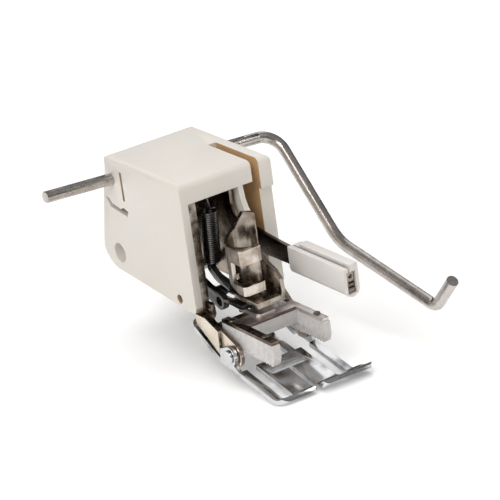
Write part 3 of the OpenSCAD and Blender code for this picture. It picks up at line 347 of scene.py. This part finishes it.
def housing_painted_shade(p):
    """The sides of the tongue's cut and of the two holes, and the right wall's inner face, are painted tan as shade.
    """
    q = p.center / MM - CORNER
    side_cut = between(q.x, LEFT_WALL) and abs(p.normal.x) < 0.5
    tongue = between(q.y, TONGUE_Y) and between(q.z, TONGUE_Z)
    hole = q.z < HOLES_BELOW_Z and p.area < HOLE_FACE_AREA
    if side_cut and (tongue or hole):
        return 1
    return 2 if p.normal.x < -0.6 and p.center.x > RIGHT_INSIDE_X else 0


dress("housing", "housing_shell", 1.4, ivory, cut_shade, inner_shade, segments=6, angle=40, face_mat=housing_painted_shade,
      share_at=housing_share)
dress("housing_pins", "housing_pin_heads", 0.12, nickel)


LEG_TOP_Z = -11.5 * MM
FLOOR_TOP_Z = -6.4 * MM
LEG_OUTSIDE_X = -7 * MM
LEFT_PLATE_X = -6 * MM
LEFT_FLANGE_X = -5 * MM
HOUSED_Y = 11 * MM


def frame_painted_light(p):
    """Painted light by facing: inside the housing the faces that face left or back, or lie far back, are painted
    dark as shade, and so are the left plate's upward faces in the leg; the left flange's front faces are painted in
    darker steel as shade; the leg's outer face is painted pale as a highlight.
    """
    if p.center.z < LEG_TOP_Z:
        if p.normal.x < -0.6 and p.center.x < LEG_OUTSIDE_X:
            return 1
        return 2 if p.normal.z > 0.5 and p.center.x < LEFT_PLATE_X else 0
    if p.center.z < FLOOR_TOP_Z:
        return 0
    if p.normal.y < -0.6 and p.center.x < LEFT_FLANGE_X:
        return 3
    return 2 if p.normal.x < -0.4 or p.normal.y > 0.4 or p.center.y > HOUSED_Y else 0


dress("main_frame", "frame_sheet", 0.13, nickel, pale, shade_nickel, strip, face_mat=frame_painted_light)


SEAT_R = 4.0 * MM
SLOT_R = 4.2 * MM
PRONG_TOP_Z = 6.1 * MM
SLOT_LEFT_X = -0.8 * MM


def head_grain_and_shade(p):
    """The seat's hollow is grained; the prongs' tops and the slot's left side are painted dark as shade, and the
    left faces are painted darker than the lit front and right faces.
    """
    from_axis = p.center.xy.length
    if abs(p.normal.z) > 0.4:
        return 2
    if from_axis < SEAT_R and p.center.z > PRONG_TOP_Z:
        return 1
    if from_axis < SLOT_R:
        return 2 if p.center.x < SLOT_LEFT_X else 4
    return 0 if p.normal.y < -0.3 or p.normal.x > 0.3 else 3


dress("shank_head", "bar_head", 0.22, bright, seat, shade_nickel, steel, nickel, face_mat=head_grain_and_shade)
dress("shank_rivets", "head_rivets", 0.15, nickel)
dress("lift_pin", "lift_pin_turned", 0.15, nickel)
dress("spring_post", "spring_post_turned", 0.12, nickel)
dress("ankle_rivet_left", "left_rivet", 0.18, chrome)
dress("ankle_rivet_right", "right_rivet", 0.18, chrome)

# fork arm
dress("fork_shaft", "fork_shaft_turned", 0.15, nickel)
dress("fork_arm", "fork_arm_plate", 0.12, dark)
dress("fork_shoe", "fork_sleeve", 0.4, white, segments=4)
dress("fork_tip", "fork_insert", 0.08, steel)
dress("fork_crank", "fork_crank_plate", 0.12, nickel)
dress("fork_spring", "fork_torsion_coil", 0, black)
dress("shaft_clip", "shaft_ring", 0.06, nickel)

# lift lever and feed
dress("lift_lever", "lift_lever_plate", 0.22, black)


LIFT_WIRE_R = 0.25


def turns_of(radius, pitch, count, steps=28):
    """A coil's centre line, in mm, standing on Z."""
    whole = [2 * math.pi * i / steps for i in range(count * steps + 1)]
    return [(radius * math.cos(a), radius * math.sin(a), pitch * a / (2 * math.pi)) for a in whole]


def lift_coil_points():
    """The lift spring's centre line: the lower hook, the close coil and the upper hook over its post."""
    wire_r, coil_r, start, pitch, count = LIFT_WIRE_R, 1.75, 1.5, 0.54, 24
    lean = math.radians(7)
    foot = Vector((8.25, 3.8, -23.2))
    post = Vector((3.5, -5.5)) - Vector((3.8, -23.2))
    post_y = post.x * math.cos(lean) + post.y * math.sin(lean)
    post_z = post.y * math.cos(lean) - post.x * math.sin(lean)
    low_r, top_r, sweep, n = 0.75, 1.15, math.radians(250), 26
    line = [(low_r * math.sin(a), 0, low_r * (1 - math.cos(a)) - wire_r)
            for a in (-sweep + sweep * i / n for i in range(n + 1))]
    line += [(x, y, z + start) for x, y, z in turns_of(coil_r, pitch, count)]
    line += [(coil_r * k, 0, start + pitch * count + wire_r) for k in (0.75, 0.5, 0.2)]
    line += [(0, post_y + top_r * math.cos(a), post_z + top_r * math.sin(a))
             for a in (math.pi - sweep * i / n for i in range(n + 1))]
    lean_x = Matrix.Rotation(lean, 3, "X")
    return [(lean_x @ Vector(p) + foot + CORNER) * MM for p in line]


lift_coil = wire("lift_coil", lift_coil_points(), LIFT_WIRE_R * MM, coil, "frame", sides=5)
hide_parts("lift_spring")
dress("slide_studs", "slide_rivets", 0.12, nickel)
# The small return spring, which shortens as the feed dog goes back, gets a mesh of its own
feed_coil = dress("feed_spring", "feed_coil", 0, black)
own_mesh(feed_coil)
dress("slide_plate", "slide_sheet", 0.12, plate)
RIGHT_STRIP_X = 4 * MM
dress("feed_carrier", "carrier_strip", 0.12, brown, plate,
      face_mat=lambda p: 1 if p.center.x > RIGHT_STRIP_X else 0)
dress("carrier_rivets", "strip_rivets", 0.12, steel)
dress("feed_dog", "feed_runner", 0.12, milky)

# sole and guide bar
dress("sole", "sole_sheet", 0.2, chrome)
dress("guide_bar", "guide_rod", 0, rod, smooth=14)

# floor, light and camera
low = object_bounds()[0][2]
FLOOR_SIZE, FLOOR_GAP = 6, 0.4 * MM
bpy.ops.mesh.primitive_plane_add(size=FLOOR_SIZE, location=(0, 0, low - FLOOR_GAP))
floor = bpy.context.view_layer.objects.active
floor.name = "floor"
paper = Mat("paper")
paper.color(paper.ramp(paper.noise(6, 3), [(0.3, (0.90, 0.90, 0.90)), (0.7, (0.93, 0.93, 0.93))]))
paper.set(Roughness=0.9, Emission_Strength=0.16)
paint(floor, paper)

world = bpy.data.worlds.new("studio")
bpy.context.scene.world = world
world.use_nodes = True
wt = world.node_tree
wt.nodes.clear()
w_out = wt.nodes.new("ShaderNodeOutputWorld")
w_bg = wt.nodes.new("ShaderNodeBackground")
w_co = wt.nodes.new("ShaderNodeTexCoord")
w_sep = wt.nodes.new("ShaderNodeSeparateXYZ")
w_ramp = wt.nodes.new("ShaderNodeValToRGB")
wt.links.new(w_co.outputs["Generated"], w_sep.inputs[0])
wt.links.new(w_sep.outputs[2], w_ramp.inputs[0])
SKY_STEPS = ((0.10, 0.05), (0.24, 0.14), (0.40, 0.62), (0.62, 0.95))
for pos, value in SKY_STEPS:
    e = w_ramp.color_ramp.elements.new(pos)
    e.color = (value, value, value, 1)
w_ramp.color_ramp.elements[0].color = (0.02, 0.018, 0.016, 1)
w_ramp.color_ramp.elements[-1].color = (1, 1, 1, 1)
wt.links.new(w_ramp.outputs[0], w_bg.inputs[0])
SKY_STRENGTH = 0.26
w_bg.inputs[1].default_value = SKY_STRENGTH
# Beyond the floor's edge the backdrop is pale
w_pale = wt.nodes.new("ShaderNodeBackground")
w_pale.inputs[0].default_value = (0.82, 0.82, 0.82, 1)
w_seen = wt.nodes.new("ShaderNodeLightPath")
w_mix = wt.nodes.new("ShaderNodeMixShader")
wt.links.new(w_seen.outputs["Is Camera Ray"], w_mix.inputs[0])
wt.links.new(w_bg.outputs[0], w_mix.inputs[1])
wt.links.new(w_pale.outputs[0], w_mix.inputs[2])
wt.links.new(w_mix.outputs[0], w_out.inputs[0])


def area(name, place, aim, size, power, tint=(1, 1, 1), mirrored=True):
    light = bpy.data.lights.new(name, "AREA")
    light.shape = "RECTANGLE"
    light.size, light.size_y = size
    light.energy = power
    light.color = tint
    obj = bpy.data.objects.new(name, light)
    bpy.context.scene.collection.objects.link(obj)
    obj.location = place
    obj.rotation_euler = (Vector(aim) - Vector(place)).to_track_quat("-Z", "Y").to_euler()
    obj.visible_glossy = mirrored
    return obj


area("key", (-0.42, -0.30, 0.50), (0, 0, 0), (0.35, 0.35), 2.3, (1.0, 0.98, 0.96))
area("fill", (0.5, -0.35, 0.22), (0, 0, 0), (0.12, 0.45), 0.9, (1.0, 0.97, 0.92))
area("rim", (0.28, 0.60, 0.48), (0, 0, 0), (0.75, 0.36), 0.9)
area("left", (-0.6, 0.1, 0.15), (0, 0, 0), (0.15, 0.4), 0.5)
area("floor_wash", (0.0, 0.15, 1.1), (0, 0, 0), (0.9, 0.9), 7.0, mirrored=False)
bpy.context.scene.view_settings.view_transform = "Standard"

# The camera stands where the photograph's did
AZ, EL, ROLL, FOCAL = math.radians(31), math.radians(22), math.radians(-8), 2600
PX_PER_MM = 4.5
CORNER_PX = (177.6, 187.1)
ahead = Vector((math.sin(AZ) * math.cos(EL), math.cos(AZ) * math.cos(EL), -math.sin(EL)))
side = Vector((math.cos(AZ), -math.sin(AZ), 0))
up = side.cross(ahead)
right = side * math.cos(ROLL) + up * math.sin(ROLL)
upward = up * math.cos(ROLL) - side * math.sin(ROLL)
away = FOCAL / PX_PER_MM
x_off = (CORNER_PX[0] - 250) / FOCAL
y_off = -(CORNER_PX[1] - 250) / FOCAL
place = -away * (ahead + right * x_off + upward * y_off) + CORNER
cam = bpy.data.cameras.new("photo_camera")
cam.sensor_width = 36
cam.lens = FOCAL / 500 * 36
cam.clip_start = 0.01
cam.clip_end = 20
cam_obj = bpy.data.objects.new("photo_camera", cam)
bpy.context.scene.collection.objects.link(cam_obj)
turn = Matrix((right, upward, -ahead)).transposed().to_4x4()
cam_obj.matrix_world = Matrix.Translation(place * MM) @ turn
bpy.context.scene.camera = cam_obj
